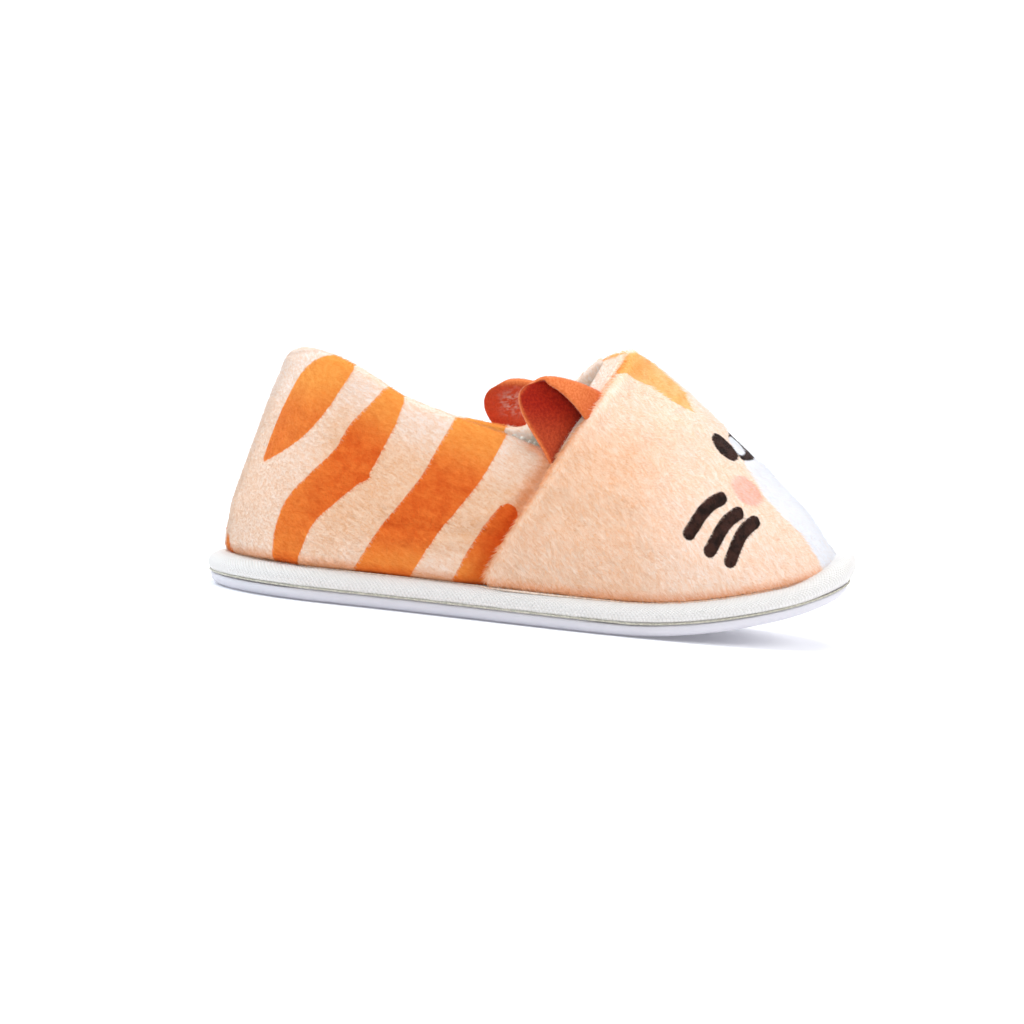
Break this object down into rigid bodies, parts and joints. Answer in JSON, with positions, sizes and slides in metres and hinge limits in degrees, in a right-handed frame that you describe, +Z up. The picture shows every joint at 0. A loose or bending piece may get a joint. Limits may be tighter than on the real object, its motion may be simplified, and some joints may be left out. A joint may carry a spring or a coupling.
{
  "type": "animal slipper",
  "caption": "Child's closed-heel plush slipper for the right foot: striped quarters, animal face panel over the toe, folded felt ears, cloth-wrapped platform and white sole.",
  "frame": {"origin": "on the floor, under the middle of the slipper's box", "axes": "+X to the toe, +Y to the inner side of the right foot, +Z up"},
  "size_m": [0.16, 0.072, 0.0695],
  "materials": {
    "outsole": "matt white foam rubber",
    "midsole": "fine off-white binding cloth",
    "insole": "grey fleece",
    "upper": "short cream plush with orange stripes",
    "vamp_panel": "peach plush",
    "ears": "rust felt"
  },
  "bodies": {
    "root": {"outsole": "outsole", "midsole": "midsole", "insole": "insole", "upper": "upper", "vamp_panel": "vamp_panel", "ear_outer": "ears", "ear_inner": "ears"}
  },
  "joints": []
}
